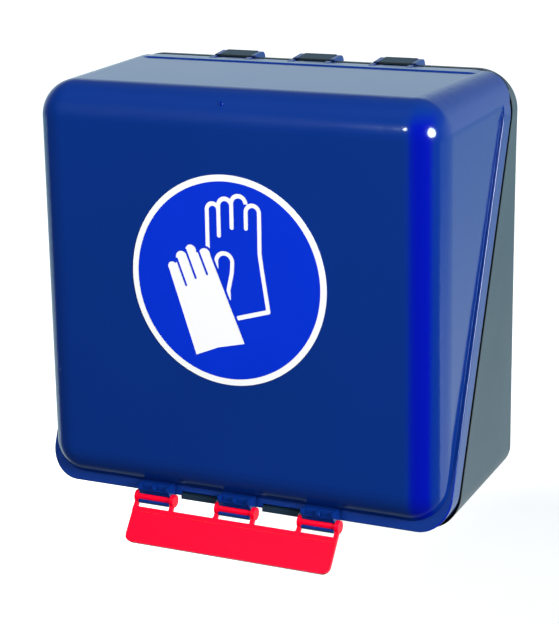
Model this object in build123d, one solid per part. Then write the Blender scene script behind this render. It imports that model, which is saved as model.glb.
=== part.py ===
from build123d import *
import math
import os

# Wall-mounted glove dispenser box: a dark rear tray, a blue front cover hinged
# at the top of the tray, a red closing flap under the cover, and a round sign.
# Millimetres. X to the right, Y towards the wall, Z up.
# The origin is the centre of the face that rests on the wall.

os.makedirs("parts", exist_ok=True)

# Box
box_width = 236.0
box_height = 225.0
box_depth = 122.0
top_corner_radius = 24.0
bottom_corner_radius = 15.6
front_edge_radius = 18.8
rear_edge_radius = 11.2
cover_wall = 2.2
tray_wall = 2.2
back_wall = 2.6

# Slanting seam between tray and cover: from the wall at the top edge, and from
# the front at the bottom edge
seam_depth_top = 15.9
seam_front_margin = 18.3
seam_gap = 0.4
seam_groove_width = 2.6
seam_groove_depth = 1.4

# Cover
cover_step = 1.2
cover_top_step = 0.2
cover_draft = 1.6
cover_top_draft = 1.9
cover_back_radius = 15.5
cover_top_radius = 20.0
cover_bottom_radius = 19.4
rim_width = 10.9
rim_bottom_lift = 1.4
rim_edge_radius = 0.7
rim_bottom_radius = 17.5

# Tray
tray_side_draft = 3.4
tray_bottom_draft = 4.0
tongue_length = 3.5
tongue_root = 3.0
tongue_wall = 1.2
tongue_clearance = 0.4
tongue_bottom_gap = 24.0
screw_hole_radius = 2.6
screw_boss_radius = 7.0
screw_boss_height = 1.6
screw_spacing_x = 150.0
screw_spacing_z = 130.0

# Lid hinges at the top rear edge
lid_hinge_pitch = 48.0
lid_axis_depth = 4.0
lid_axis_drop = 1.6
lid_ear_radius = 3.7
lid_ear_width = 2.8
lid_ear_gap = 19.0
lid_rod_radius = 1.75
lid_arm_height = 4.2
lid_arm_rise = 2.0
lid_clip_radius = 4.1
lid_clip_depth = 11.0
lid_pocket_clearance = 0.5
lid_mouth_low = 110.0
lid_mouth_high = 195.0

# Flap hinges at the bottom front edge
flap_hinge_pitch = 48.5
flap_axis_setback = 3.6
flap_axis_drop = 0.6
flap_rod_radius = 2.2
flap_clip_radius = 3.9
flap_disc_radius = 3.4
flap_arm_width = 2.2
flap_window = 19.2
flap_relief_clearance = 0.5
bracket_height = 8.2
bracket_rib = 1.0
bracket_shelf = 1.2
bracket_pocket_depth = 3.2
bracket_depth = 10.0
bracket_mouth_low = -24.0
bracket_mouth_high = 58.0

# Closing flap
flap_angle = 37.0
flap_start = 6.2
flap_length = 26.1
flap_thickness = 2.0
flap_corner_radius = 4.5
flap_band_width = 2.6
flap_band_height = 0.4
flap_root_radius = 1.2

# Catch tabs of the tray, in notches of the cover's rim
notch_width = 22.0
notch_height = 2.5
tab_clearance = 0.5
tab_height = 2.8
tab_root = 1.5

# Fits
pin_clearance = 0.05
side_clearance = 0.35

# Sign, its points measured from its centre
sign_radius = 55.5
sign_ring = 3.4
sign_height = 13.4
sign_thickness = 0.3
print_thickness = 0.12
stroke_width = 2.4
glove_gap = 1.3
finger_gap = 1.1
finger_centres = [(-31.9, 5.3), (-26.4, 10.6), (-20.9, 14.5), (-12.9, 13.2)]
finger_radii = [2.5, 3.3, 3.2, 3.3]
finger_gap_lines = [
    ((-29.2, 9.5), (-24.1, -4.2)),
    ((-23.9, 14.7), (-18.4, 0.2)),
    ((-17.3, 16.8), (-11.7, 2.8)),
]
glove_cuff = [(9.1, -32.3), (-6.3, -35.8), (-19.2, -41.1)]
back_finger_lines = [-10.9, -4.3, 3.1, 11.2, 18.7]
back_finger_tops = [36.9, 39.5, 41.1, 37.0]
back_finger_floors = [14.0, 23.9, 28.5, 28.8]
back_glove_side = [(18.7, 37.0), (18.6, 16.0), (20.0, 5.9), (23.0, -13.9), (5.9, -18.8)]
back_thumb = [(3.0, 10.1), (2.6, 4.8), (0.5, -4.2), (0.6, -9.0)]
back_thumb_left = -6.2
back_thumb_floor = 7.0

# Worked out from the sizes above
top = box_height / 2
bottom = -box_height / 2
seam_depth_bottom = box_depth - seam_front_margin
tilt = math.atan((seam_depth_bottom - seam_depth_top) / box_height)
reach = box_width + box_depth
lid_axis_y = -lid_axis_depth
lid_axis_z = top - lid_axis_drop
lid_arm_low = lid_axis_z + lid_ear_radius - lid_arm_height
lid_clip_low = lid_axis_z - lid_ear_radius - lid_pocket_clearance - tray_wall / 2
lid_clip_half = lid_ear_gap / 2 - side_clearance
lid_loop_half = lid_ear_gap / 2 + lid_ear_width
flap_axis_y = flap_axis_setback - box_depth
flap_axis_z = bottom - flap_axis_drop
bracket_half = flap_window / 2 - side_clearance
bracket_front = flap_axis_y - flap_clip_radius
flap_loop_half = flap_window / 2 + flap_arm_width
flap_half = flap_hinge_pitch + flap_loop_half
lid_centres = [-lid_hinge_pitch, 0.0, lid_hinge_pitch]
flap_centres = [-flap_hinge_pitch, 0.0, flap_hinge_pitch]
tab_centres = [-flap_hinge_pitch / 2, flap_hinge_pitch / 2]


def front_plane(depth, x=0, z=0):
    """Plane parallel to the wall, seen from the front, at a depth."""
    return Plane(origin=(x, -depth, z), x_dir=(1, 0, 0), z_dir=(0, -1, 0))


def outline(depth, side, high, low, high_radius, low_radius):
    """Front view of the box at a depth, drawn in by side, high and low insets."""
    half = box_width / 2 - side
    shape = Polygon(
        (-half, bottom + low),
        (half, bottom + low),
        (half, top - high),
        (-half, top - high),
        align=None,
    )
    shape = fillet(shape.vertices().sort_by(Axis.Y)[2:], high_radius)
    low_corners = [v for v in shape.vertices() if abs(v.Y - (bottom + low)) < 1e-6]
    shape = fillet(low_corners, low_radius)
    return front_plane(depth) * shape


def prism_x(points, x_low, x_high):
    """Solid with a Y-Z outline, from x_low to x_high."""
    plane = Plane(origin=(x_low, 0, 0), x_dir=(0, 1, 0), z_dir=(1, 0, 0))
    face = plane * Polygon(*points, align=None)
    return extrude(face, x_high - x_low, dir=(1, 0, 0))


def rod_x(y, z, radius, x_start, x_end):
    """Round bar along X between two ends, in either order."""
    plane = Plane(origin=(min(x_start, x_end), y, z), x_dir=(0, 1, 0), z_dir=(1, 0, 0))
    return extrude(plane * Circle(radius), abs(x_end - x_start))


def block(x_start, x_end, y_start, y_end, z_start, z_end):
    """Box between two opposite corners."""
    size = Box(abs(x_end - x_start), abs(y_end - y_start), abs(z_end - z_start))
    centre = ((x_start + x_end) / 2, (y_start + y_end) / 2, (z_start + z_end) / 2)
    return Pos(*centre) * size


def seam_y(z, forward):
    """Y, at a height, of the plane that lies forward of the seam by a distance."""
    slope = math.tan(tilt)
    return -seam_depth_bottom + (z - bottom) * slope - forward / math.cos(tilt)


def zone(forward_low, forward_high):
    """Slanting slab between two planes parallel to the seam."""
    z_low = bottom - reach
    z_high = top + reach
    points = [
        (seam_y(z_low, forward_high), z_low),
        (seam_y(z_low, forward_low), z_low),
        (seam_y(z_high, forward_low), z_high),
        (seam_y(z_high, forward_high), z_high),
    ]
    return prism_x(points, -reach, reach)


def tray_prism(inset):
    """Straight-sided form of the tray at the seam, drawn in by an inset."""
    high_radius = top_corner_radius - inset
    low_radius = bottom_corner_radius - inset
    return extrude(outline(0, inset, inset, inset, high_radius, low_radius), reach)


def rim_prism(inset):
    """Straight-sided form of the cover's rim, drawn in by an inset."""
    low = rim_bottom_lift + inset
    high_radius = top_corner_radius - inset
    low_radius = rim_bottom_radius - inset
    return extrude(outline(0, inset, inset, low, high_radius, low_radius), reach)


def seam_groove():
    """Shadow groove round the box at the seam, half in each shell."""
    ring = tray_prism(-seam_groove_depth) - tray_prism(seam_groove_depth)
    return ring & zone(-seam_groove_width / 2, seam_groove_width / 2)


def cover_blank(inset):
    """Drafted form of the cover with its large front edge radius."""
    side = cover_step + inset
    high = cover_top_step + inset
    low = rim_bottom_lift + side
    low_radius = cover_bottom_radius - inset
    back = outline(0, side, high, low, cover_back_radius - inset, low_radius)
    front = outline(
        box_depth - inset,
        side + cover_draft,
        high + cover_top_draft,
        low + cover_draft,
        cover_top_radius - inset,
        low_radius,
    )
    blank = loft([back.face(), front.face()])
    front_edges = blank.faces().sort_by(Axis.Y)[0].edges()
    return fillet(front_edges, front_edge_radius - inset)


def cover_rim():
    """Band round the cover at the seam, with its front edge rounded."""
    rim = rim_prism(0) & zone(seam_gap / 2, rim_width)
    front_face = rim.faces().filter_by(
        lambda f: f.normal_at().Y < -0.5 * math.cos(tilt)
    ).sort_by(Axis.Y)[0]
    return fillet(front_face.edges(), rim_edge_radius)


def cover_ears():
    """Hinge ears and rods at the cover's top rear edge."""
    front = -seam_depth_top - rim_width / 2
    ear_top = lid_axis_z + lid_ear_radius
    side_view = [
        (front, lid_arm_low),
        (front, ear_top - lid_arm_rise),
        (lid_axis_y, ear_top),
        (lid_axis_y, lid_arm_low),
    ]
    solids = []
    for centre in lid_centres:
        for side in (-1, 1):
            inner = centre + side * lid_ear_gap / 2
            outer = centre + side * lid_loop_half
            solids.append(rod_x(lid_axis_y, lid_axis_z, lid_ear_radius, inner, outer))
            solids.append(prism_x(side_view, min(inner, outer), max(inner, outer)))
        start = centre - lid_ear_gap / 2
        end = centre + lid_ear_gap / 2
        solids.append(rod_x(lid_axis_y, lid_axis_z, lid_rod_radius, start, end))
    return solids


def flap_brackets():
    """Snap brackets under the cover's front edge that hold the flap's rods."""
    back = bracket_front + bracket_depth
    clip_back = flap_axis_y + flap_clip_radius
    shelf_low = flap_axis_z + flap_clip_radius
    plate_high = flap_axis_z + flap_thickness / 2 + flap_relief_clearance
    high = flap_axis_z + bracket_height
    solids = []
    for centre in flap_centres:
        start = centre - bracket_half
        end = centre + bracket_half
        ring = rod_x(flap_axis_y, flap_axis_z, flap_clip_radius, start, end)
        body = block(start, end, bracket_front, back, flap_axis_z, high)
        front_gap = block(start, end, bracket_front, flap_axis_y, flap_axis_z, shelf_low)
        rear_gap = block(start, end, clip_back, back, flap_axis_z, plate_high)
        solids.append(ring + (body - front_gap - rear_gap))
    return solids


def bracket_pockets():
    """Two pockets in the front of each bracket, between its ribs."""
    back = bracket_front + bracket_pocket_depth
    low = flap_axis_z + flap_clip_radius + bracket_shelf
    high = flap_axis_z + bracket_height + bracket_rib
    cuts = []
    for centre in flap_centres:
        for side in (-1, 1):
            near = centre + side * bracket_rib / 2
            far = centre + side * (bracket_half - bracket_rib)
            cuts.append(block(near, far, bracket_front - bracket_rib, back, low, high))
    return cuts


def snap_mouth(y, z, radius, low_angle, high_angle, x_start, x_end):
    """Opening of a snap clip, between two angles measured up from the front."""
    span = 3 * radius
    points = [(y, z)]
    for angle in (low_angle, (low_angle + high_angle) / 2, high_angle):
        turn = math.radians(angle)
        points.append((y - span * math.cos(turn), z + span * math.sin(turn)))
    return prism_x(points, x_start, x_end)


def bracket_cuts():
    """Bores, snap openings and room for the flap's discs at the brackets."""
    bore = flap_rod_radius + pin_clearance
    relief = flap_disc_radius + flap_relief_clearance
    y, z = flap_axis_y, flap_axis_z
    cuts = []
    for centre in flap_centres:
        start = centre - bracket_half
        end = centre + bracket_half
        cuts.append(rod_x(y, z, bore, start, end))
        cuts.append(
            snap_mouth(
                y, z, flap_clip_radius, bracket_mouth_low, bracket_mouth_high, start, end
            )
        )
        for side in (-1, 1):
            near = centre + side * bracket_half
            far = centre + side * (flap_loop_half + side_clearance)
            cuts.append(rod_x(y, z, relief, near, far))
    return cuts


def rim_notches():
    """Notches in the cover's lower rim, where the tray's catch tabs show."""
    back = -seam_depth_bottom + rim_width
    high = bottom + rim_bottom_lift + notch_height
    cuts = []
    for centre in tab_centres:
        start = centre - notch_width / 2
        end = centre + notch_width / 2
        cuts.append(block(start, end, -box_depth, back, bottom, high))
    return cuts


def make_cover():
    """Blue front cover with its rim, ears, rods and snap brackets."""
    solid = (cover_blank(0) & zone(seam_gap / 2, reach)) + cover_rim()
    for piece in cover_ears() + flap_brackets():
        solid += piece
    solid -= cover_blank(cover_wall) & zone(seam_gap / 2, reach)
    solid -= rim_prism(cover_wall) & zone(0, rim_width - cover_wall)
    for cut in bracket_pockets() + bracket_cuts() + rim_notches():
        solid -= cut
    return solid - seam_groove()


def lid_pockets(grow):
    """Pockets in the tray's top rear edge that the lid hinges lie in."""
    radius = lid_ear_radius + lid_pocket_clearance + grow
    half = lid_loop_half + lid_pocket_clearance + grow
    low = lid_arm_low - lid_pocket_clearance - grow
    front = -seam_depth_top - rim_width
    cuts = []
    for centre in lid_centres:
        start = centre - half
        end = centre + half
        round_cut = rod_x(lid_axis_y, lid_axis_z, radius, start, end)
        cuts.append(round_cut + block(start, end, front, reach, low, top + reach))
    return cuts


def lid_clips():
    """Snap clips of the tray that hold the cover's rods."""
    y, z = lid_axis_y, lid_axis_z
    front = y - lid_clip_depth
    bore = lid_rod_radius + pin_clearance
    side_view = [
        (front, lid_clip_low),
        (front, z + lid_clip_radius - lid_arm_rise),
        (y, z + lid_clip_radius),
        (y, z),
        (y + lid_ear_radius / 2, z),
        (y + lid_ear_radius / 2, lid_clip_low),
    ]
    solids = []
    for centre in lid_centres:
        start = centre - lid_clip_half
        end = centre + lid_clip_half
        clip = rod_x(y, z, lid_clip_radius, start, end) + prism_x(side_view, start, end)
        clip -= rod_x(y, z, bore, start, end)
        clip -= snap_mouth(
            y, z, lid_clip_radius, lid_mouth_low, lid_mouth_high, start, end
        )
        solids.append(clip)
    return solids


def tray_form(wall, floor, forward):
    """Drafted form of the tray inside a wall and a floor, up to a seam plane."""
    front_part = tray_prism(wall) & zone(-reach, forward)
    seam_face = front_part.faces().filter_by(
        lambda f: abs(f.normal_at().Z - math.sin(tilt)) < 0.01
    ).sort_by(Axis.Y)[0]
    side = tray_side_draft + wall
    low = tray_bottom_draft + wall
    back_face = outline(
        floor, side, wall, low, top_corner_radius - side, bottom_corner_radius - side
    ).face()
    blank = loft([seam_face, back_face])
    rear_edges = blank.faces().sort_by(Axis.Y)[-1].edges()
    return fillet(rear_edges, rear_edge_radius - wall)


def tray_tongue():
    """Lip on the tray's sides and top that reaches into the cover's rim."""
    outer = cover_wall + tongue_clearance
    inner = outer + tongue_wall
    lip = (tray_prism(outer) - tray_prism(inner)) & zone(-tongue_root, tongue_length)
    root = (tray_prism(tray_wall / 2) - tray_prism(inner)) & zone(
        -tongue_root, -seam_gap / 2
    )
    low_end = block(
        -reach, reach, -reach, reach, bottom - reach, bottom + tongue_bottom_gap
    )
    return (lip + root) - low_end


def catch_tabs():
    """Tabs at the tray's lower front edge, in the notches of the cover's rim."""
    front = seam_y(bottom, rim_width)
    back = seam_y(bottom, -tab_root)
    solids = []
    for centre in tab_centres:
        start = centre - notch_width / 2 + tab_clearance
        end = centre + notch_width / 2 - tab_clearance
        solids.append(block(start, end, front, back, bottom, bottom + tab_height))
    return solids


def make_tray():
    """Dark rear tray with its clips, tongue, catch tabs and screw holes."""
    cavity = tray_form(tray_wall, back_wall, 0)
    for thick_pocket in lid_pockets(tray_wall):
        cavity -= thick_pocket
    solid = tray_form(0, 0, -seam_gap / 2) - cavity + tray_tongue()
    for pocket in lid_pockets(0):
        solid -= pocket
    solid -= seam_groove()
    for piece in lid_clips() + catch_tabs():
        solid += piece
    for x in (-screw_spacing_x / 2, screw_spacing_x / 2):
        for z in (-screw_spacing_z / 2, screw_spacing_z / 2):
            plane = front_plane(0, x, z)
            depth = back_wall + screw_boss_height
            solid += extrude(plane * Circle(screw_boss_radius), depth)
            solid -= extrude(plane * Circle(screw_hole_radius), depth)
    return solid


def flap_plate():
    """Front view of the flap hanging straight down from its axis."""
    plate = Polygon(
        (-flap_half, -flap_length),
        (flap_half, -flap_length),
        (flap_half, -flap_start),
        (-flap_half, -flap_start),
        align=None,
    )
    plate = fillet(plate.vertices().sort_by(Axis.Y)[:2], flap_corner_radius)
    arm_height = flap_start + flap_root_radius
    for centre in flap_centres:
        for side in (-1, 1):
            middle = centre + side * (flap_window + flap_arm_width) / 2
            plate += Pos(middle, -arm_height / 2) * Rectangle(flap_arm_width, arm_height)
    roots = [
        v
        for v in plate.vertices()
        if abs(v.Y + flap_start) < 1e-6 and abs(abs(v.X) - flap_half) > 1e-6
    ]
    inner_roots = [
        v
        for v in roots
        if all(abs(abs(v.X - c) - flap_window / 2) > 1e-6 for c in flap_centres)
    ]
    return fillet(inner_roots, flap_root_radius)


def make_flap():
    """Red closing flap, built hanging straight down and then turned forward."""
    plate = front_plane(0) * flap_plate()
    solid = extrude(plate, flap_thickness / 2, both=True)
    band_face = extrude(plate, flap_thickness / 2 + flap_band_height)
    for low, high in (
        (flap_length - flap_band_width, flap_length),
        (flap_start, flap_start + flap_band_width),
    ):
        solid += band_face & block(
            -flap_half, flap_half, 0, -flap_thickness, -high, -low
        )
    for centre in flap_centres:
        half = flap_window / 2
        solid += rod_x(0, 0, flap_rod_radius, centre - half, centre + half)
        for side in (-1, 1):
            near = centre + side * half
            far = centre + side * flap_loop_half
            solid += rod_x(0, 0, flap_disc_radius, near, far)
    return Pos(0, flap_axis_y, flap_axis_z) * Rot(-flap_angle, 0, 0) * solid


def stroke(start, end, width):
    """Flat line with round ends."""
    dx = end[0] - start[0]
    dy = end[1] - start[1]
    middle = ((start[0] + end[0]) / 2, (start[1] + end[1]) / 2)
    turn = math.degrees(math.atan2(dy, dx))
    bar = Pos(*middle) * Rot(0, 0, turn) * Rectangle(math.hypot(dx, dy), width)
    return bar + Pos(*start) * Circle(width / 2) + Pos(*end) * Circle(width / 2)


def half_ring(left, right, height, width):
    """Upper half of a ring that joins two upright lines."""
    radius = (right - left) / 2
    ring = Circle(radius + width / 2) - Circle(radius - width / 2)
    upper = Pos(0, radius + width) * Rectangle(4 * radius, 2 * radius + 2 * width)
    return Pos((left + right) / 2, height) * (ring & upper)


def glove_form():
    """Outline of the white glove in front, without the gaps between fingers."""
    first_x, first_y = finger_centres[0]
    last_x, last_y = finger_centres[-1]
    left = (first_x - finger_radii[0], first_y)
    right = (last_x + finger_radii[-1], last_y)
    shape = Polygon(*glove_cuff, left, *finger_centres, right, align=None)
    for centre, radius in zip(finger_centres, finger_radii):
        shape += Pos(*centre) * Circle(radius)
    return shape


def back_glove():
    """Drawn lines of the glove behind."""
    lines = back_finger_lines
    shape = half_ring(back_thumb_left, back_thumb[0][0], back_thumb[0][1], stroke_width)
    for index, high in enumerate(back_finger_tops):
        shape += half_ring(lines[index], lines[index + 1], high, stroke_width)
        floor = (lines[index], back_finger_floors[index])
        shape += stroke((lines[index], high), floor, stroke_width)
    for route in (back_glove_side, back_thumb):
        for start, end in zip(route[:-1], route[1:]):
            shape += stroke(start, end, stroke_width)
    thumb_top = (back_thumb_left, back_thumb[0][1])
    return shape + stroke(thumb_top, (back_thumb_left, back_thumb_floor), stroke_width)


def make_sign():
    """Round white label and the coloured field printed on it."""
    label_plane = front_plane(box_depth, z=sign_height)
    label = extrude(label_plane * Circle(sign_radius), sign_thickness)
    glove = glove_form()
    field = Circle(sign_radius - sign_ring)
    field -= back_glove() - offset(glove, glove_gap)
    field -= glove
    for start, end in finger_gap_lines:
        field += stroke(start, end, finger_gap)
    field_plane = front_plane(box_depth + sign_thickness, z=sign_height)
    return label, extrude(field_plane * field, print_thickness)


if __name__ == "__main__":
    sign_label, sign_print = make_sign()
    nodes = {
        "cover": make_cover(),
        "tray": make_tray(),
        "closing_flap": make_flap(),
        "sign_label": sign_label,
        "sign_print": sign_print,
    }
    for name, solid in nodes.items():
        print(name, solid.is_valid, len(solid.solids()), round(solid.volume, 1))
        export_step(solid, f"parts/{name}.step")
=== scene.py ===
import math

import bmesh
import bpy
from mathutils import Matrix, Vector


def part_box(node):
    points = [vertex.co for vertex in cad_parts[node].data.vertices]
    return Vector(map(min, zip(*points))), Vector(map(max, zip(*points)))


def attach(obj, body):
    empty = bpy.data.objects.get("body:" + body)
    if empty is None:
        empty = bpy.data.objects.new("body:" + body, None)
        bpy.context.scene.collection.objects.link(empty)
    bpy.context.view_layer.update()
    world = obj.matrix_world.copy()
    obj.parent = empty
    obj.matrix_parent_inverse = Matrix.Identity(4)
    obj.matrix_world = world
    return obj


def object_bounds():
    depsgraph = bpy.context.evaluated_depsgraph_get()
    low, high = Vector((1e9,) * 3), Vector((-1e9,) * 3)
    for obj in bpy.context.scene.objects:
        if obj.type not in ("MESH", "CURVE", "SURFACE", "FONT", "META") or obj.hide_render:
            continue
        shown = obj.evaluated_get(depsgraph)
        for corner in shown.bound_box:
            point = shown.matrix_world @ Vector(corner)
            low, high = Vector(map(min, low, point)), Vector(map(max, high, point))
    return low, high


bl_info = {
    "name": "Glove Dispenser Box",
    "version": (1, 0, 0),
    "blender": (4, 5, 0),
    "location": "3D View > Sidebar > Glove Box",
    "description": "Dresses a wall box for disposable gloves: shells, flap, sign and studio",
    "category": "Object",
}

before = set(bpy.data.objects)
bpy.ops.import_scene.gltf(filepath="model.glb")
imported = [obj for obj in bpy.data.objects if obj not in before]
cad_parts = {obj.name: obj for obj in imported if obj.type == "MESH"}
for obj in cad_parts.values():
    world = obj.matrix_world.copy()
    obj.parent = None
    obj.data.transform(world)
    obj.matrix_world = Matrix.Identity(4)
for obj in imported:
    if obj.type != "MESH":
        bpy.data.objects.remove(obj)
CAD_LOW, CAD_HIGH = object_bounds()
COVER_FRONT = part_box("cover")[0][1]
MM = 0.001
WHITE = (1.0, 1.0, 1.0, 1.0)
# The backdrop and the floor as the glossy sides show them, a little cool
BACKDROP_IN_GLOSS = (0.72, 0.93, 1.0, 1.0)
FLOOR_IN_GLOSS = (0.6, 1.0, 0.98, 1.0)
# Tint of the cover's own reflections
COVER_GLOSS = (0.8, 0.97, 1.0, 1.0)
DUST = (0.5, 0.6, 0.75, 1.0)
ABS_IOR = 1.53
# Near the middle of the rounded top edge, where the injection mark lies
GATE_PLACE = Vector((-3.8, -118.0, 104.6)) * MM
# Half section of that mark: distance from its middle and height, as shares of its
# radius and height. Below 0 it is sunk in the cover.
GATE_PROFILE = [
    (0.0, 0.3), (0.2, 0.32), (0.38, 0.55), (0.52, 0.9), (0.62, 1.0), (0.74, 0.95),
    (0.88, 0.55), (1.0, 0.0), (1.05, -1.0), (0.0, -1.0),
]
# Share of painted light, a purer blue where the key softbox lights the rounded right edge, by
# how far the surface faces right
LIT_EDGE_CURVE = [(0.0, 0.0), (0.06, 0.06), (0.3, 0.95), (0.58, 1.0), (0.76, 0.15), (1.0, 0.0)]


def linear(code):
    """Linear colour of an sRGB hex value."""
    parts = [int(code[i : i + 2], 16) / 255 for i in (1, 3, 5)]
    return [c / 12.92 if c <= 0.04045 else ((c + 0.055) / 1.055) ** 2.4 for c in parts]


def colour_property(name, description, code):
    return bpy.props.FloatVectorProperty(
        name=name, description=description, subtype="COLOR", size=3, min=0, max=1,
        default=linear(code),
    )


def length_property(name, description, millimetres):
    return bpy.props.FloatProperty(
        name=name, description=description, subtype="DISTANCE", unit="LENGTH",
        default=millimetres * MM, min=0, precision=5,
    )


def angle_property(name, description, degrees):
    return bpy.props.FloatProperty(
        name=name, description=description, subtype="ANGLE", unit="ROTATION",
        default=math.radians(degrees),
    )


class GloveBoxColours(bpy.types.PropertyGroup):
    """Colours of the mouldings, the sign and the studio."""

    cover_face: colour_property("Cover face", "Blue of the cover's flat faces", "#082e7d")
    # Painted light: the purer blue stands for the key softbox lighting the rounded right edge
    cover_lit_edge: colour_property("Cover edge", "Purer blue of its rounded right edge", "#000d9a")
    tray: colour_property("Tray", "Dark slate grey of the rear tray", "#1b3144")
    flap: colour_property("Flap", "Bright red of the closing flap", "#fb0030")
    film: colour_property("Film", "White of the sign's film", "#fcfcfd")
    ink: colour_property("Ink", "Signal blue printed on the film", "#002fcd")
    seam: colour_property("Seam", "Shade down in the seam", "#04070d")
    floor: colour_property("Floor", "Pale floor", "#e9eaec")


class GloveBoxSizes(bpy.types.PropertyGroup):
    """Real sizes of the moulded and printed surfaces."""

    edge_round: length_property("Edge rounding", "Rounding of the moulded edges", 0.25)
    # Depths over which the painted light on the right edge is full and where it ends
    lit_edge_full: length_property("Edge full", "Pure blue edge is full up to this depth", 16.0)
    lit_edge_end: length_property("Edge end", "Pure blue edge ends at this depth", 22.0)
    peel_width: length_property("Peel width", "Width of the mirror mould's long waves", 14.0)
    peel_height: length_property("Peel height", "Height of those waves", 0.02)
    grain_width: length_property("Grain width", "Width of the tray's spark-eroded grain", 0.9)
    grain_height: length_property("Grain height", "Height of that grain", 0.02)
    flow_length: length_property("Flow length", "Length of the flap's flow marks", 90.0)
    flow_width: length_property("Flow width", "Width of those marks", 7.0)
    flow_height: length_property("Flow height", "Height of those marks", 0.03)
    gate_radius: length_property("Gate radius", "Radius of the injection mark on the cover", 1.5)
    gate_height: length_property("Gate height", "Height of that mark", 0.7)
    seam_top: length_property("Seam at the top", "Depth of the seam at the top edge", 15.9)
    seam_bottom: length_property("Seam at the bottom", "Depth of the seam at the bottom", 103.7)
    seam_rise: length_property("Seam rise", "Height of the box that the seam crosses", 225.0)
    # The seam's dark line is painted shade
    seam_width: length_property("Seam width", "Width of the dark line round the box", 3.8)
    seam_shift: length_property("Seam shift", "How far that line lies towards the wall", 0.5)


class GloveBoxCamera(bpy.types.PropertyGroup):
    """Place of the camera, as a photographer would give it."""

    place: bpy.props.FloatVectorProperty(
        name="Place", description="Where the camera stands", subtype="TRANSLATION",
        unit="LENGTH", default=(0.44575, -0.9866, 0.26037),
    )
    turn: angle_property("Turn", "Turn to the left of the wall's normal", 25.731)
    tip: angle_property("Tip", "Tip below the horizon", 15.172)
    roll: angle_property("Roll", "Roll about the view", -0.951)
    lens: bpy.props.FloatProperty(
        name="Lens", description="Focal length on a 36 mm frame", subtype="DISTANCE_CAMERA",
        default=112.98,
    )


def add_node(tree, kind, inputs=(), **settings):
    """Adds a node. inputs pairs a socket's name or number with a value or an output."""
    made = tree.nodes.new(kind)
    for key, value in settings.items():
        setattr(made, key, value)
    for key, value in inputs:
        if isinstance(value, bpy.types.NodeSocket):
            tree.links.new(value, made.inputs[key])
        else:
            made.inputs[key].default_value = value
    return made


def draw_curve(node, points):
    """Sets a Float Curve through points, the first at 0 and the last at 1."""
    node.mapping.extend = "HORIZONTAL"
    curve = node.mapping.curves[0]
    curve.points[0].location = points[0]
    curve.points[-1].location = points[-1]
    for x, y in points[1:-1]:
        curve.points.new(x, y)
    node.mapping.update()


def new_material(name, shader_inputs):
    """Material with one Principled shader. Returns the material, its tree and the shader."""
    material = bpy.data.materials.new(name)
    material.use_nodes = True
    tree = material.node_tree
    shader = tree.nodes["Principled BSDF"]
    for key, value in shader_inputs.items():
        shader.inputs[key].default_value = value
    return material, tree, shader


def opaque(colour):
    return (*colour, 1.0)


def mottle(tree, pattern, low, high, colour):
    """Colour that a pattern makes darker and lighter, from low to high."""
    strength = add_node(
        tree, "ShaderNodeMapRange", [("Value", pattern), ("To Min", low), ("To Max", high)]
    )
    return add_node(
        tree, "ShaderNodeHueSaturation",
        [("Value", strength.outputs[0]), ("Color", opaque(colour))],
    ).outputs[0]


def roughen(tree, shader, pattern, low, high):
    """Lets a pattern vary the shader's roughness from low to high."""
    rough = add_node(
        tree, "ShaderNodeMapRange", [("Value", pattern), ("To Min", low), ("To Max", high)]
    )
    tree.links.new(rough.outputs[0], shader.inputs["Roughness"])


def mould_surface(tree, shader, sizes, pattern, height):
    """Rounds the sharp edges a little and raises a pattern on the surface."""
    rounded = add_node(tree, "ShaderNodeBevel", [("Radius", sizes.edge_round)], samples=6)
    relief = add_node(
        tree, "ShaderNodeBump",
        [("Height", pattern), ("Distance", height), ("Normal", rounded.outputs[0])],
    )
    tree.links.new(relief.outputs[0], shader.inputs["Normal"])


def find_seam(tree, surface, sizes):
    """1 on the slanting plane where the shells meet, and 0 off the line of painted shade there.
    """
    slope = (sizes.seam_bottom - sizes.seam_top) / sizes.seam_rise
    across = Vector((0, 1, -slope)).normalized()
    on_seam = Vector((0, -sizes.seam_bottom, -sizes.seam_rise / 2))
    ahead = add_node(
        tree, "ShaderNodeVectorMath", [(0, surface["Object"]), (1, across)],
        operation="DOT_PRODUCT",
    )
    off = add_node(
        tree, "ShaderNodeMath",
        [(0, ahead.outputs["Value"]), (1, on_seam.dot(across) + sizes.seam_shift)],
        operation="SUBTRACT",
    )
    gap = add_node(tree, "ShaderNodeMath", [(0, off.outputs[0])], operation="ABSOLUTE")
    half, softness = sizes.seam_width / 2, 0.1 * MM
    return add_node(
        tree, "ShaderNodeMapRange",
        [("Value", gap.outputs[0]), ("From Min", half + softness),
         ("From Max", half - softness)],
    ).outputs[0]


def find_open_faces(tree, surface):
    """1 on faces that look out of the box or lie down in the groove, 0 on inner ones."""
    # A face down in the groove sees less of its surroundings than an open one
    groove_depth, open_share, closed_share = 3 * MM, 0.97, 0.82
    surroundings = add_node(
        tree, "ShaderNodeAmbientOcclusion", [("Distance", groove_depth)], samples=8
    )
    deep = add_node(
        tree, "ShaderNodeMapRange",
        [("Value", surroundings.outputs["AO"]), ("From Min", open_share),
         ("From Max", closed_share)],
    )
    # The distance of a face's plane from the middle of the wall face is low inside
    inner, outer = 40 * MM, 60 * MM
    outward = add_node(
        tree, "ShaderNodeVectorMath", [(0, surface["Object"]), (1, surface["Normal"])],
        operation="DOT_PRODUCT",
    )
    outside = add_node(
        tree, "ShaderNodeMapRange",
        [("Value", outward.outputs["Value"]), ("From Min", inner), ("From Max", outer)],
    )
    return add_node(
        tree, "ShaderNodeMath", [(0, deep.outputs[0]), (1, outside.outputs[0])],
        operation="MAXIMUM",
    ).outputs[0]


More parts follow.
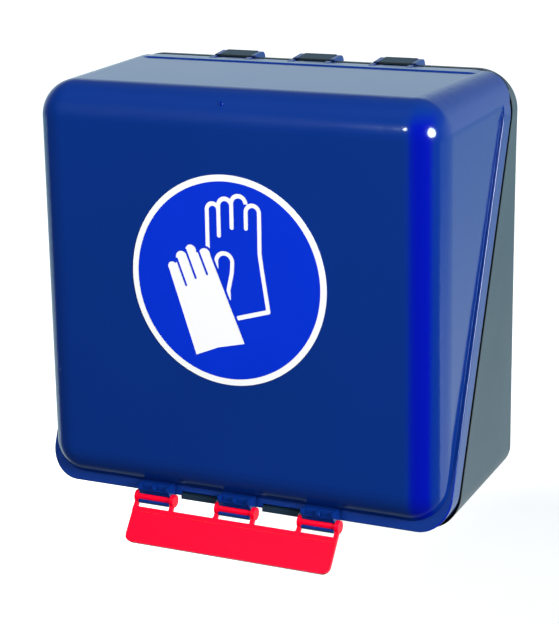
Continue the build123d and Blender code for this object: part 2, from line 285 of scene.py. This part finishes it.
def shade_seam(tree, shader, colour, colours, sizes):
    """Colours a shell, and paints shade as a dark line along the joint that runs round the box.
    """
    surface = add_node(tree, "ShaderNodeTexCoord").outputs
    dark = add_node(
        tree, "ShaderNodeMath",
        [(0, find_seam(tree, surface, sizes)), (1, find_open_faces(tree, surface))],
        operation="MULTIPLY",
    ).outputs[0]
    shaded = add_node(
        tree, "ShaderNodeMix", [("Factor", dark), (6, colour), (7, opaque(colours.seam))],
        data_type="RGBA",
    )
    # Painted shade: the seam's reflections are turned down along with its colour
    moulded_gloss, seam_gloss = 0.5, 0.04
    gloss = add_node(
        tree, "ShaderNodeMapRange",
        [("Value", dark), ("To Min", moulded_gloss), ("To Max", seam_gloss)],
    )
    tree.links.new(shaded.outputs[2], shader.inputs["Base Color"])
    tree.links.new(gloss.outputs[0], shader.inputs["Specular IOR Level"])


def find_lit_right_edge(tree, surface, sizes):
    """1 along the rounded right edge of the cover's front, where light from the key softbox is
    painted on as a purer blue, 0 elsewhere.
    """
    facing = add_node(tree, "ShaderNodeSeparateXYZ", [("Vector", surface["Normal"])]).outputs
    place = add_node(tree, "ShaderNodeSeparateXYZ", [("Vector", surface["Object"])]).outputs
    rounding = add_node(tree, "ShaderNodeFloatCurve", [("Value", facing["X"])])
    draw_curve(rounding, LIT_EDGE_CURVE)
    front = add_node(
        tree, "ShaderNodeMapRange",
        [("Value", place["Y"]), ("From Min", COVER_FRONT + sizes.lit_edge_end),
         ("From Max", COVER_FRONT + sizes.lit_edge_full)],
    )
    facing_up, facing_level = 0.85, 0.3
    level = add_node(
        tree, "ShaderNodeMapRange",
        [("Value", facing["Z"]), ("From Min", facing_up), ("From Max", facing_level)],
        interpolation_type="SMOOTHSTEP",
    )
    along = add_node(
        tree, "ShaderNodeMath", [(0, rounding.outputs[0]), (1, front.outputs[0])],
        operation="MULTIPLY",
    )
    return add_node(
        tree, "ShaderNodeMath", [(0, along.outputs[0]), (1, level.outputs[0])],
        operation="MULTIPLY",
    ).outputs[0]


def scatter_dust(tree, place):
    """Share of dust on a surface: one small speck in each cell of a loose pattern."""
    spacing, strength = 22 * MM, 0.35
    # A speck's outline and full middle, as shares of the spacing
    outline, middle = 0.018, 0.01
    cells = add_node(
        tree, "ShaderNodeTexVoronoi", [("Vector", place), ("Scale", 1 / spacing)]
    )
    speck = add_node(
        tree, "ShaderNodeMapRange",
        [("Value", cells.outputs["Distance"]), ("From Min", outline), ("From Max", middle)],
    )
    return add_node(
        tree, "ShaderNodeMath", [(0, speck.outputs[0]), (1, strength)],
        operation="MULTIPLY",
    ).outputs[0]


def cover_plastic(colours, sizes):
    """Glossy blue ABS, injection moulded in a polished mould.

    It gives the eye a deep blue body under clear, slightly wavy reflections, a purer
    blue painted on the rounded right edge as light from the key softbox, and a few pale
    specks of dust.
    """
    material, tree, shader = new_material(
        "blue_abs_polished_mould", {"IOR": ABS_IOR, "Specular Tint": COVER_GLOSS}
    )
    surface = add_node(tree, "ShaderNodeTexCoord").outputs
    place = surface["Object"]
    cloud = add_node(
        tree, "ShaderNodeTexNoise",
        [("Vector", place), ("Scale", 1 / (60 * MM)), ("Detail", 2.0)],
    )
    face = mottle(tree, cloud.outputs[0], 0.93, 1.07, colours.cover_face)
    # Painted light: the lit right edge is mixed in here as a purer blue
    blue = add_node(
        tree, "ShaderNodeMix",
        [("Factor", find_lit_right_edge(tree, surface, sizes)), (6, face),
         (7, opaque(colours.cover_lit_edge))],
        data_type="RGBA",
    )
    body = add_node(
        tree, "ShaderNodeMix",
        [("Factor", scatter_dust(tree, place)), (6, blue.outputs[2]), (7, DUST)],
        data_type="RGBA",
    )
    shade_seam(tree, shader, body.outputs[2], colours, sizes)
    polish = add_node(
        tree, "ShaderNodeTexNoise",
        [("Vector", place), ("Scale", 1 / (25 * MM)), ("Detail", 3.0)],
    )
    roughen(tree, shader, polish.outputs[0], 0.11, 0.16)
    wave = add_node(
        tree, "ShaderNodeTexNoise",
        [("Vector", place), ("Scale", 1 / sizes.peel_width), ("Detail", 1.0)],
    )
    mould_surface(tree, shader, sizes, wave.outputs[0], sizes.peel_height)
    return material


def tray_plastic(colours, sizes):
    """Dark grey ABS, injection moulded with a fine spark-eroded grain.

    The grain breaks the reflections into a soft satin, a little rougher in patches. It
    is drawn a few times coarser than the real one, which would be too fine to show.
    """
    material, tree, shader = new_material("dark_grey_abs_grained", {"IOR": ABS_IOR})
    place = add_node(tree, "ShaderNodeTexCoord").outputs["Object"]
    cloud = add_node(
        tree, "ShaderNodeTexNoise",
        [("Vector", place), ("Scale", 1 / (45 * MM)), ("Detail", 3.0)],
    ).outputs[0]
    shade_seam(tree, shader, mottle(tree, cloud, 0.9, 1.1, colours.tray), colours, sizes)
    roughen(tree, shader, cloud, 0.3, 0.42)
    grain = add_node(
        tree, "ShaderNodeTexNoise",
        [("Vector", place), ("Scale", 1 / sizes.grain_width), ("Detail", 2.0)],
    )
    mould_surface(tree, shader, sizes, grain.outputs[0], sizes.grain_height)
    return material


def flap_plastic(colours, sizes):
    """Bright red polypropylene, thin enough to glow a little where light comes through.

    Scattering under the surface keeps its shaded side red, and flow marks along its
    length change the gloss.
    """
    material, tree, shader = new_material(
        "red_polypropylene",
        {
            "IOR": 1.49,
            "Specular IOR Level": 0.15,
            "Subsurface Weight": 0.35,
            "Subsurface Radius": (1.0, 0.15, 0.12),
            "Subsurface Scale": 2 * MM,
        },
    )
    place = add_node(tree, "ShaderNodeTexCoord").outputs["Object"]
    along, across = 1 / sizes.flow_length, 1 / sizes.flow_width
    flow = add_node(
        tree, "ShaderNodeMapping", [("Vector", place), ("Scale", (along, across, across))]
    )
    streak = add_node(
        tree, "ShaderNodeTexNoise",
        [("Vector", flow.outputs[0]), ("Scale", 1.0), ("Detail", 3.0)],
    ).outputs[0]
    body = mottle(tree, streak, 0.94, 1.04, colours.flap)
    tree.links.new(body, shader.inputs["Base Color"])
    roughen(tree, shader, streak, 0.3, 0.45)
    mould_surface(tree, shader, sizes, streak, sizes.flow_height)
    return material


def printed_film(name, colour, shift):
    """Calendered vinyl film: smooth, softly glossy, with the faintest mottling."""
    material, tree, shader = new_material(name, {"IOR": 1.46})
    place = add_node(tree, "ShaderNodeTexCoord").outputs["Object"]
    cloud = add_node(
        tree, "ShaderNodeTexNoise",
        [("Vector", place), ("Scale", 1 / (30 * MM)), ("Detail", 2.0)],
    ).outputs[0]
    body = mottle(tree, cloud, 1 - shift, 1 + shift, colour)
    tree.links.new(body, shader.inputs["Base Color"])
    roughen(tree, shader, cloud, 0.28, 0.36)
    return material


def dress(node, material):
    """Gives a node of the frame one finished material, and returns its piece."""
    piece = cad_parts[node]
    piece.data.materials.clear()
    piece.data.materials.append(material)
    return piece


def add_object(name, data):
    """New object in the scene."""
    made = bpy.data.objects.new(name, data)
    bpy.context.scene.collection.objects.link(made)
    return made


def make_gate_mark(cover, sizes, plastic):
    """Round bead with a sunken middle, where the cover's mould was filled."""
    shape = bmesh.new()
    line = [
        shape.verts.new((sizes.gate_radius * across, 0, sizes.gate_height * height))
        for across, height in GATE_PROFILE
    ]
    for start, end in zip(line, line[1:]):
        shape.edges.new((start, end))
    bmesh.ops.spin(
        shape, geom=shape.edges[:] + shape.verts[:], axis=(0, 0, 1), cent=(0, 0, 0),
        steps=32, angle=math.tau,
    )
    bmesh.ops.remove_doubles(shape, verts=shape.verts, dist=0.001 * MM)
    bmesh.ops.recalc_face_normals(shape, faces=shape.faces)
    _, seat, facing, _ = cover.closest_point_on_mesh(GATE_PLACE)
    turn = facing.to_track_quat("Z", "X").to_matrix().to_4x4()
    shape.transform(Matrix.Translation(seat) @ turn)
    mesh = bpy.data.meshes.new("gate_mark")
    shape.to_mesh(mesh)
    shape.free()
    mesh.shade_smooth()
    mesh.materials.append(plastic)
    mark = add_object("gate_mark", mesh)
    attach(mark, "cover")


def make_floor(colours):
    """Pale floor below the box, behind the plane of its back."""
    drop, side, depth = -0.32, 4.0, 6.0
    mesh = bpy.data.meshes.new("floor")
    corners = [(-side, 0), (side, 0), (side, depth), (-side, depth)]
    mesh.from_pydata([(x, y, drop) for x, y in corners], [], [(0, 1, 2, 3)])
    floor = add_object("floor", mesh)
    material, tree, shader = new_material(
        "pale_floor", {"Base Color": opaque(colours.floor), "Roughness": 0.7}
    )
    # The camera and the glossy sides see it whiter than lit, and least so round the
    # box's shadow, which stays
    rays = add_node(tree, "ShaderNodeLightPath").outputs
    share_in_gloss = 0.46
    seen = add_node(
        tree, "ShaderNodeMath",
        [(0, rays["Is Glossy Ray"]), (1, share_in_gloss), (2, rays["Is Camera Ray"])],
        operation="MULTIPLY_ADD",
    )
    shadow_place, shadow_core, shadow_end, shadow_lift = (0.0, 0.36, drop), 0.1, 0.36, 0.4
    place = add_node(tree, "ShaderNodeTexCoord").outputs["Object"]
    away = add_node(
        tree, "ShaderNodeVectorMath", [(0, place), (1, shadow_place)], operation="DISTANCE"
    )
    white = add_node(
        tree, "ShaderNodeMapRange",
        [("Value", away.outputs["Value"]), ("From Min", shadow_core),
         ("From Max", shadow_end), ("To Min", shadow_lift)],
        interpolation_type="SMOOTHSTEP",
    )
    lift = add_node(
        tree, "ShaderNodeMath", [(0, seen.outputs[0]), (1, white.outputs[0])],
        operation="MULTIPLY",
    )
    tint = add_node(
        tree, "ShaderNodeMix",
        [("Factor", rays["Is Camera Ray"]), (6, FLOOR_IN_GLOSS), (7, WHITE)],
        data_type="RGBA",
    )
    tree.links.new(tint.outputs[2], shader.inputs["Emission Color"])
    tree.links.new(lift.outputs[0], shader.inputs["Emission Strength"])
    mesh.materials.append(material)


def make_world():
    """White backdrop low behind the box, and a dim room before and above it."""
    room_strength, backdrop_strength = 0.05, 0.85
    # Parts of a direction's unit vector where the backdrop fades out and where it is full
    back_end, back_full = -0.15, 0.7
    high_end, low_full, high_share = 0.62, 0.2, 0.12
    world = bpy.data.worlds.new("studio")
    bpy.context.scene.world = world
    world.use_nodes = True
    tree = world.node_tree
    direction = add_node(tree, "ShaderNodeTexCoord").outputs["Generated"]
    axes = add_node(tree, "ShaderNodeSeparateXYZ", [("Vector", direction)]).outputs
    back = add_node(
        tree, "ShaderNodeMapRange",
        [("Value", axes["Y"]), ("From Min", back_end), ("From Max", back_full)],
        interpolation_type="SMOOTHSTEP",
    )
    low = add_node(
        tree, "ShaderNodeMapRange",
        [("Value", axes["Z"]), ("From Min", high_end), ("From Max", low_full),
         ("To Min", high_share)],
        interpolation_type="SMOOTHSTEP",
    )
    backdrop = add_node(
        tree, "ShaderNodeMath", [(0, back.outputs[0]), (1, low.outputs[0])],
        operation="MULTIPLY",
    )
    room = add_node(
        tree, "ShaderNodeMapRange",
        [("Value", backdrop.outputs[0]), ("To Min", room_strength),
         ("To Max", backdrop_strength)],
    )
    seen = add_node(tree, "ShaderNodeLightPath").outputs["Is Camera Ray"]
    strength = add_node(
        tree, "ShaderNodeMix", [("Factor", seen), (2, room.outputs[0]), (3, 1.0)],
        data_type="FLOAT",
    )
    colour = add_node(
        tree, "ShaderNodeMix", [("Factor", seen), (6, BACKDROP_IN_GLOSS), (7, WHITE)],
        data_type="RGBA",
    )
    sky = tree.nodes["Background"]
    tree.links.new(colour.outputs[2], sky.inputs["Color"])
    tree.links.new(strength.outputs[0], sky.inputs["Strength"])


def make_softbox(name, away, size, power, in_gloss):
    """Round softbox that looks at the box, seen in glossy surfaces or flagged off."""
    target = (CAD_LOW + CAD_HIGH) / 2
    data = bpy.data.lights.new(name, "AREA")
    data.shape = "DISK"
    data.size = size
    data.energy = power
    lamp = add_object(name, data)
    lamp.location = target + away
    lamp.rotation_mode = "QUATERNION"
    lamp.rotation_quaternion = (-away).to_track_quat("-Z", "Y")
    lamp.visible_glossy = in_gloss


def make_lights():
    """Softboxes: turn and rise from the box in degrees, reach and size in metres, watts."""
    for name, turn, rise, reach, size, power, in_gloss in (
        ("key_softbox", 66, 19, 1.5, 0.6, 30, True),
        ("catch_light", -12, 28, 1.6, 0.15, 5, True),
        ("fill_softbox", -32, 26, 1.6, 0.9, 10, False),
        ("top_softbox", -50, 66, 1.4, 0.9, 6, False),
    ):
        turn, rise = math.radians(turn), math.radians(rise)
        away = Vector((
            math.sin(turn) * math.cos(rise), -math.cos(turn) * math.cos(rise), math.sin(rise)
        ))
        make_softbox(name, away * reach, size, power, in_gloss)


def make_camera(scene):
    view = scene.glove_box_camera
    data = bpy.data.cameras.new("photograph_view")
    data.lens = view.lens
    data.sensor_width = 36.0
    data.clip_start = 0.05
    camera = add_object("photograph_view", data)
    turn = Matrix.Rotation(view.turn, 4, "Z")
    tip = Matrix.Rotation(math.pi / 2 - view.tip, 4, "X")
    roll = Matrix.Rotation(view.roll, 4, "Z")
    camera.matrix_world = Matrix.Translation(view.place) @ turn @ tip @ roll
    scene.camera = camera


class GloveBoxOperator(bpy.types.Operator):
    """Base of the operators that make the box."""

    bl_options = {"REGISTER"}

    def settings(self, context):
        scene = context.scene
        return scene.glove_box_colours, scene.glove_box_sizes


class GLOVEBOX_OT_cover(GloveBoxOperator):
    """Finish the blue front cover and set its injection mark"""

    bl_idname = "glovebox.cover"
    bl_label = "Front cover"

    def execute(self, context):
        colours, sizes = self.settings(context)
        plastic = cover_plastic(colours, sizes)
        make_gate_mark(dress("cover", plastic), sizes, plastic)
        return {"FINISHED"}


class GLOVEBOX_OT_tray(GloveBoxOperator):
    """Finish the dark rear tray"""

    bl_idname = "glovebox.tray"
    bl_label = "Rear tray"

    def execute(self, context):
        dress("tray", tray_plastic(*self.settings(context)))
        return {"FINISHED"}


class GLOVEBOX_OT_flap(GloveBoxOperator):
    """Finish the red closing flap"""

    bl_idname = "glovebox.flap"
    bl_label = "Closing flap"

    def execute(self, context):
        flap = dress("closing_flap", flap_plastic(*self.settings(context)))
        # The photograph shows hardly any mirror image of it in the cover's lower edge
        flap.visible_glossy = False
        return {"FINISHED"}


class GLOVEBOX_OT_sign(GloveBoxOperator):
    """Finish the round label and its print"""

    bl_idname = "glovebox.sign"
    bl_label = "Sign"

    def execute(self, context):
        colours, _ = self.settings(context)
        dress("sign_label", printed_film("white_vinyl_film", colours.film, 0.01))
        dress("sign_print", printed_film("blue_screen_print", colours.ink, 0.06))
        return {"FINISHED"}


class GLOVEBOX_OT_stage(GloveBoxOperator):
    """Make the floor, the studio light and the camera"""

    bl_idname = "glovebox.stage"
    bl_label = "Studio"

    def execute(self, context):
        colours, _ = self.settings(context)
        make_floor(colours)
        make_world()
        make_lights()
        make_camera(context.scene)
        context.scene.view_settings.view_transform = "Standard"
        return {"FINISHED"}


class GLOVEBOX_PT_panel(bpy.types.Panel):
    """Sidebar panel with every step and setting"""

    bl_label = "Glove Box"
    bl_space_type = "VIEW_3D"
    bl_region_type = "UI"
    bl_category = "Glove Box"

    def draw(self, context):
        layout = self.layout
        for step in STEPS:
            layout.operator(step.bl_idname)
        for name in GROUPS:
            group = getattr(context.scene, name)
            box = layout.box()
            for key in group.__annotations__:
                box.prop(group, key)


STEPS = (
    GLOVEBOX_OT_cover,
    GLOVEBOX_OT_tray,
    GLOVEBOX_OT_flap,
    GLOVEBOX_OT_sign,
    GLOVEBOX_OT_stage,
)
GROUPS = {
    "glove_box_colours": GloveBoxColours,
    "glove_box_sizes": GloveBoxSizes,
    "glove_box_camera": GloveBoxCamera,
}


def register():
    for kind in (*GROUPS.values(), *STEPS, GLOVEBOX_PT_panel):
        bpy.utils.register_class(kind)
    for key, group in GROUPS.items():
        setattr(bpy.types.Scene, key, bpy.props.PointerProperty(type=group))


def unregister():
    for key in GROUPS:
        delattr(bpy.types.Scene, key)
    for kind in (GLOVEBOX_PT_panel, *reversed(STEPS), *reversed(GROUPS.values())):
        bpy.utils.unregister_class(kind)


def main():
    register()
    for step in STEPS:
        family, name = step.bl_idname.split(".")
        getattr(getattr(bpy.ops, family), name)()


if __name__ == "__main__":
    main()
